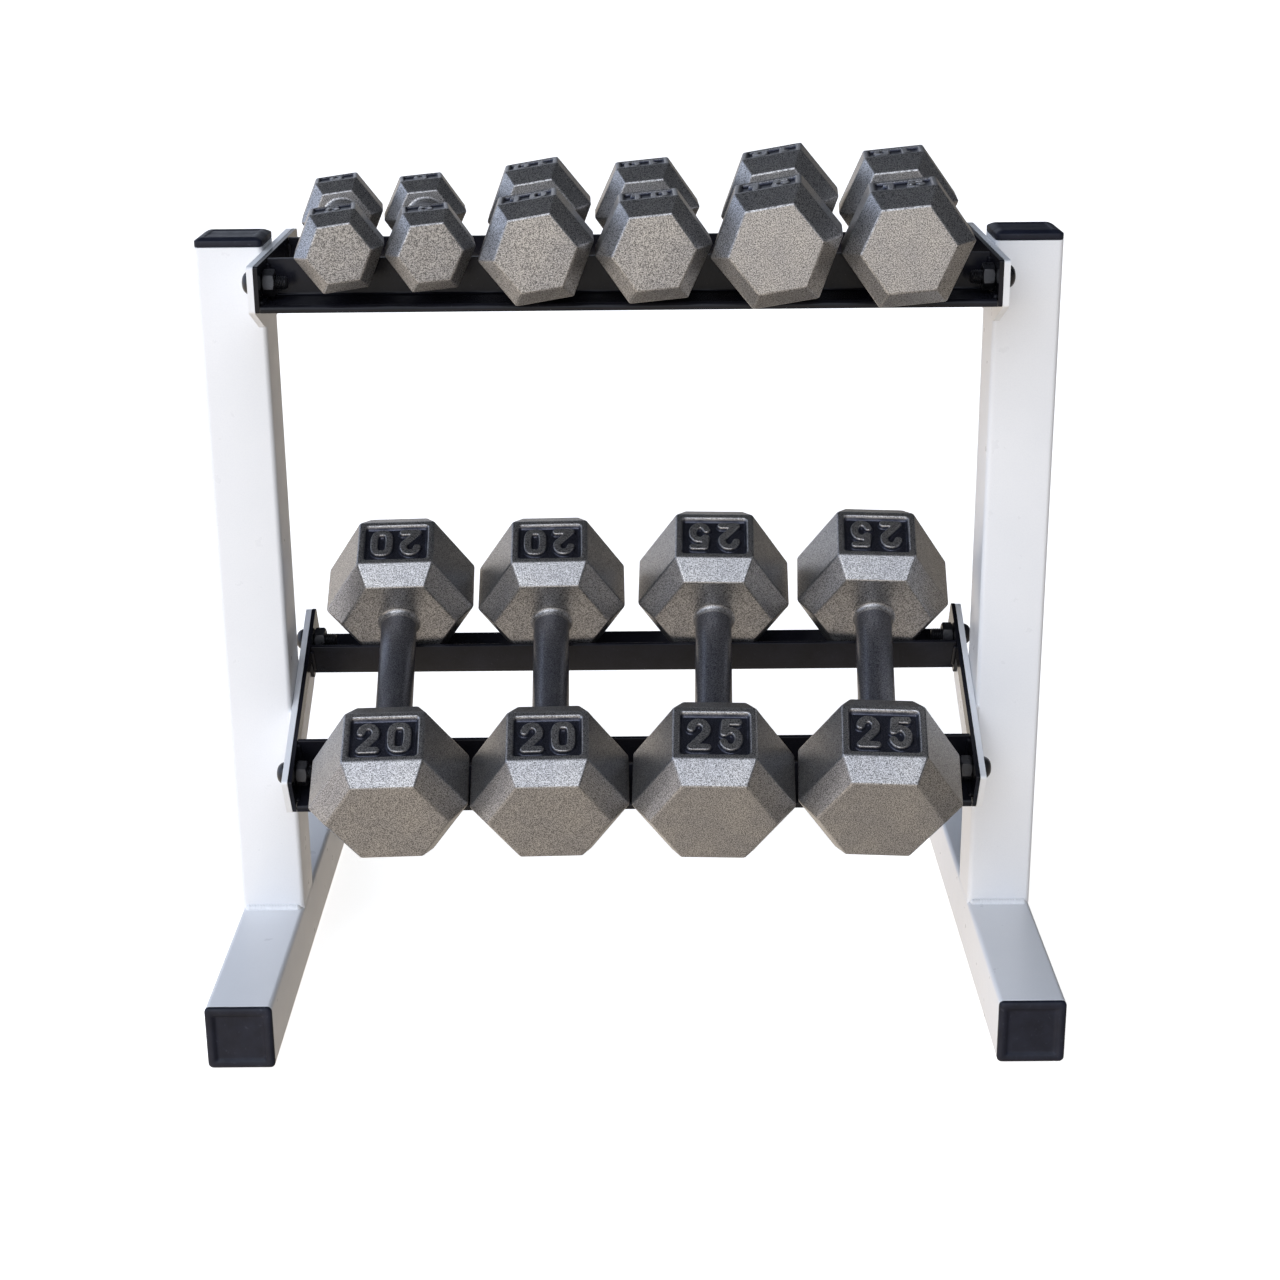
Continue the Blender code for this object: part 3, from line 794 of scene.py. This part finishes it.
def dumbbell(name, lb, centre, tilt, roll, yaw, cell):
    D, lc, lf, hg, rg, k = SIZES[lb]
    th, ph, ps = (math.radians(a) for a in (tilt, roll, yaw))
    along = Vector((0.0, math.cos(th), math.sin(th)))
    side = Vector((1.0, 0.0, 0.0))
    ax = math.cos(ps) * along + math.sin(ps) * side
    ex = math.cos(ps) * side - math.sin(ps) * along
    ez = ex.cross(ax)
    x2 = math.cos(ph) * ex + math.sin(ph) * ez
    z2 = -math.sin(ph) * ex + math.cos(ph) * ez
    place = Matrix((x2, ax, z2)).transposed().to_4x4()
    place.translation = V(*centre)
    R = D / 2
    bm = bmesh.new()

    def hexring(r, w):
        return [bm.verts.new((r * math.cos(math.radians(60 * q)) * MM, w * MM,
                              r * math.sin(math.radians(60 * q)) * MM))
                for q in range(6)]

    n = 48

    def circ(r, w):
        return [bm.verts.new((r * math.cos(2 * math.pi * q / n) * MM, w * MM,
                              r * math.sin(2 * math.pi * q / n) * MM))
                for q in range(n)]

    main_edges = []
    inner = {}
    for sgn in (-1, 1):
        lv = [(hg + 2 * lc + lf, R * k), (hg + lc + lf, R), (hg + lc, R),
              (hg, R * k)]
        rings = [hexring(r, sgn * w) for w, r in lv]
        bm.faces.new(rings[0])
        for a, b in zip(rings[:-1], rings[1:]):
            for q in range(6):
                j = (q + 1) % 6
                bm.faces.new((a[q], a[j], b[j], b[q]))
                main_edges.append(bm.edges.get((a[q], b[q])))
        for rg_ in rings:
            for q in range(6):
                main_edges.append(bm.edges.get((rg_[q], rg_[(q + 1) % 6])))
        inner[sgn] = rings[-1]
    fil = [(0.0, 3.4), (0.4, 2.45), (1.0, 1.6), (1.8, 0.95), (2.8, 0.45),
           (4.0, 0.15), (5.5, 0.03), (8.0, 0.0)]
    prof = [(-hg + a, rg + b) for a, b in fil]
    prof += [(x, rg) for x in np.linspace(-hg + 16, hg - 16, 9)]
    prof += [(hg - a, rg + b) for a, b in reversed(fil)]
    circs = [circ(r, w) for w, r in prof]
    for sgn, cr in ((-1, circs[0]), (1, circs[-1])):
        hx = inner[sgn]
        for q in range(6):
            j = (q + 1) % 6
            idx = [(8 * q + t) % n for t in range(9)]
            bm.faces.new([hx[q], hx[j]] + [cr[i] for i in reversed(idx)])
    grip_faces = []
    for i, (a, b) in enumerate(zip(circs[:-1], circs[1:])):
        for q in range(n):
            j = (q + 1) % n
            f = bm.faces.new((a[q], a[j], b[j], b[q]))
            if prof[i][0] > -hg + 5.0 and prof[i + 1][0] < hg - 5.0:
                # handle faces take the darker painted-shade hammertone
                f.material_index = 1
    bmesh.ops.recalc_face_normals(bm, faces=bm.faces)
    bmesh.ops.bevel(bm, geom=main_edges, offset=(0.75 + 0.005 * D) * MM,
                    offset_type="OFFSET", segments=4, profile=0.5,
                    affect="EDGES", clamp_overlap=True)
    # number panels on the upper flat of both heads
    layer = bm.verts.layers.float.new("recess")
    text = str(lb)
    for sgn in (-1, 1):
        best = None
        for f in bm.faces:
            c = f.calc_center_median()
            if f.normal.z > 0.999 and c.z > 0 and c.y * sgn > 0 \
                    and abs(c.x) < 0.002:
                if best is None or f.calc_area() > best.calc_area():
                    best = f
        vs = sorted(best.verts, key=lambda v: (v.co.y, v.co.x))
        zt = sum(v.co.z for v in vs) / len(vs)
        lo, hi = vs[:2], vs[2:]
        c00, c10 = sorted(lo, key=lambda v: v.co.x)
        c01, c11 = sorted(hi, key=lambda v: v.co.x)
        x0, x1 = c00.co.x / MM, c10.co.x / MM
        y0, y1 = c00.co.y / MM, c01.co.y / MM
        bm.faces.remove(best)
        edge = 0.6
        gx0, gx1, gy0, gy1 = x0 + edge, x1 - edge, y0 + edge, y1 - edge
        nx = int((gx1 - gx0) / cell)
        ny = int((gy1 - gy0) / cell)
        xs = np.linspace(gx0, gx1, nx + 1)
        ys = np.linspace(gy0, gy1, ny + 1)
        GX, GY = np.meshgrid(xs, ys, indexing="ij")
        cy = (y0 + y1) / 2
        full_w, full_h = R, lf
        pw, ph_ = full_w * 0.885, full_h - full_w * 0.105
        zz, depth = panel_height(GX, GY - cy, pw, ph_, text, sgn > 0)
        grid = []
        for i in range(nx + 1):
            row = []
            for j in range(ny + 1):
                v = bm.verts.new((xs[i] * MM, ys[j] * MM, zt + zz[i, j] * MM))
                v[layer] = float(-zz[i, j] / depth)
                row.append(v)
            grid.append(row)
        for i in range(nx):
            for j in range(ny):
                bm.faces.new((grid[i][j], grid[i + 1][j], grid[i + 1][j + 1],
                              grid[i][j + 1]))
        bm.faces.new([c00, c10] + [grid[i][0] for i in range(nx, -1, -1)])
        bm.faces.new([c10, c11] + [grid[nx][j] for j in range(ny, -1, -1)])
        bm.faces.new([c11, c01] + [grid[i][ny] for i in range(nx + 1)])
        bm.faces.new([c01, c00] + [grid[0][j] for j in range(ny + 1)])
    ob = piece(bm, "cast_" + name, [IRON, GRIP_SHADED], [name], body=name,
               place=place, weld=None)
    wn = ob.modifiers.new("flats", "WEIGHTED_NORMAL")
    wn.mode = "FACE_AREA"
    wn.weight = 60
    return ob


for name, lb, x, roll, yaw in UPPER:
    D, lc, lf, hg, rg, k = SIZES[lb]
    low = D / 2 * math.sin(math.radians(60 + roll))
    n = max(SHELVES["upper"]["tray"] + low, LEG_N + rg) + GAP
    y, z = shelf_yz("upper", 91.0, n)
    dumbbell(name, lb, (x, y, z), 0.0, roll, yaw, 0.6)
for name, lb, x, roll, yaw in LOWER:
    D, lc, lf, hg, rg, k = SIZES[lb]
    n = SHELVES["lower"]["tray"] + D / 2 * math.cos(math.radians(30)) + GAP
    reach = D / 2 * k - (n - LEG_N) / math.sqrt(3.0)
    s = SH_L - TRAY + RAIL_T + GAP - hg + reach * math.sin(
        math.radians(abs(yaw)))
    y, z = shelf_yz("lower", s, n)
    dumbbell(name, lb, (x, y, z), 27.0, roll, yaw, 0.45)


# ------------------------------------------------------------ floor and light
def floor():
    m = Nodes("studio_floor")
    c = m.coords()
    col = m.ramp(m.noise(c, 3.0, 3.0, 0.5), [(0.3, (0.90, 0.895, 0.885)),
                                             (0.7, (0.93, 0.925, 0.92))])
    mat = m.done(col, 0.75)
    m.bsdf.inputs["Emission Color"].default_value = (1.0, 0.995, 0.985, 1.0)
    m.bsdf.inputs["Emission Strength"].default_value = 0.80
    bm = bmesh.new()
    r = 60.0
    vs = [bm.verts.new((r * math.cos(2 * math.pi * k / 64),
                        r * math.sin(2 * math.pi * k / 64), 0.0))
          for k in range(64)]
    bm.faces.new(vs)
    me = bpy.data.meshes.new("studio_floor")
    bm.to_mesh(me)
    bm.free()
    ob = bpy.data.objects.new("studio_floor", me)
    bpy.context.scene.collection.objects.link(ob)
    me.materials.append(mat)
    ob.location = (0, 0, -0.0006)
    ob.visible_diffuse = False
    ob.visible_glossy = False
    return ob


floor()


def world():
    w = bpy.data.worlds.new("studio")
    bpy.context.scene.world = w
    w.use_nodes = True
    nt = w.node_tree
    bg = nt.nodes["Background"]
    tc = nt.nodes.new("ShaderNodeTexCoord")
    d = tc.outputs["Generated"]

    def dot(vec):
        n = nt.nodes.new("ShaderNodeVectorMath")
        n.operation = "DOT_PRODUCT"
        nt.links.new(d, n.inputs[0])
        n.inputs[1].default_value = vec
        return n.outputs["Value"]

    def rng(val, a, b, c, e, smooth=True):
        n = nt.nodes.new("ShaderNodeMapRange")
        n.interpolation_type = "SMOOTHSTEP" if smooth else "LINEAR"
        for i, v in zip(("From Min", "From Max", "To Min", "To Max"),
                        (a, b, c, e)):
            n.inputs[i].default_value = v
        nt.links.new(val, n.inputs["Value"])
        return n.outputs["Result"]

    def scale(col, fac):
        n = nt.nodes.new("ShaderNodeVectorMath")
        n.operation = "SCALE"
        if isinstance(col, tuple):
            n.inputs[0].default_value = col
        else:
            nt.links.new(col, n.inputs[0])
        nt.links.new(fac, n.inputs["Scale"])
        return n.outputs["Vector"]

    def add(a, b):
        n = nt.nodes.new("ShaderNodeVectorMath")
        n.operation = "ADD"
        nt.links.new(a, n.inputs[0])
        nt.links.new(b, n.inputs[1])
        return n.outputs["Vector"]

    def lobe(direction, outer, inner, col):
        v = Vector(direction).normalized()
        f = rng(dot(tuple(v)), math.cos(math.radians(outer)),
                math.cos(math.radians(inner)), 0.0, 1.0)
        return scale(col, f)

    # bright to the left, dark to the right, cool above and warm below
    up_lr = rng(dot((1, 0, 0)), 0.24, -0.32, 0.075, 0.70)
    dn_lr = rng(dot((1, 0, 0)), 0.42, -0.46, 0.36, 1.02)
    upper = rng(dot((0, 0, 1)), -0.06, 0.06, 0.0, 1.0)
    lower = rng(dot((0, 0, 1)), 0.06, -0.06, 0.0, 1.0)
    sky = scale(scale((0.88, 0.95, 1.10), up_lr), upper)
    ground = scale(scale((1.08, 0.97, 0.85), dn_lr), lower)
    total = add(sky, ground)
    # dark ceiling
    dark = rng(dot(tuple(Vector((0.0, 0.15, 0.99)).normalized())),
               math.cos(math.radians(54)), math.cos(math.radians(34)),
               1.0, 0.07)
    total = scale(total, dark)
    # large softbox, high in front
    total = add(total, lobe((-0.10, -0.80, 0.58), 37, 20, (1.45, 1.57, 1.80)))
    # fill at the front horizon and a cool softbox at the left
    total = add(total, lobe((-0.12, -0.98, -0.08), 38, 8, (0.62, 0.60, 0.57)))
    total = add(total, lobe((-0.92, 0.08, 0.33), 44, 14, (0.50, 0.63, 0.90)))
    nt.links.new(total, bg.inputs["Color"])
    bg.inputs["Strength"].default_value = 1.0


world()


def area(name, loc, target, size, power, col):
    li = bpy.data.lights.new(name, "AREA")
    li.shape = "RECTANGLE"
    li.size, li.size_y = size
    li.energy = power
    li.color = col
    ob = bpy.data.objects.new(name, li)
    bpy.context.scene.collection.objects.link(ob)
    ob.location = loc
    ob.rotation_euler = (Vector(target) - Vector(loc)).to_track_quat(
        "-Z", "Y").to_euler()
    return ob


area("key", (-1.8, -2.5, 2.0), (0, 0, 0.3), (2.2, 1.6), 16.0,
     (0.95, 0.98, 1.0))

# ---------------------------------------------------------------------- camera
cam = bpy.data.cameras.new("camera")
cam.sensor_fit = "HORIZONTAL"
cam.sensor_width = 36.0
cam.lens = 61.475
cam.clip_end = 200.0
cob = bpy.data.objects.new("camera", cam)
bpy.context.scene.collection.objects.link(cob)
yw, pt, rl = math.radians(-0.191), math.radians(18.881), math.radians(0.549)
f = Vector((math.sin(yw) * math.cos(pt), math.cos(yw) * math.cos(pt),
            -math.sin(pt)))
r = Vector((math.cos(yw), -math.sin(yw), 0.0))
d = f.cross(r)
r2 = math.cos(rl) * r + math.sin(rl) * d
d2 = -math.sin(rl) * r + math.cos(rl) * d
mw = Matrix((r2, -d2, -f)).transposed().to_4x4()
mw.translation = Vector((0.0109, -1.6593, 0.8262))
cob.matrix_world = mw
bpy.context.scene.camera = cob
bpy.context.scene.view_settings.view_transform = "Standard"
bpy.context.scene.view_settings.look = "None"

bpy.context.view_layer.update()
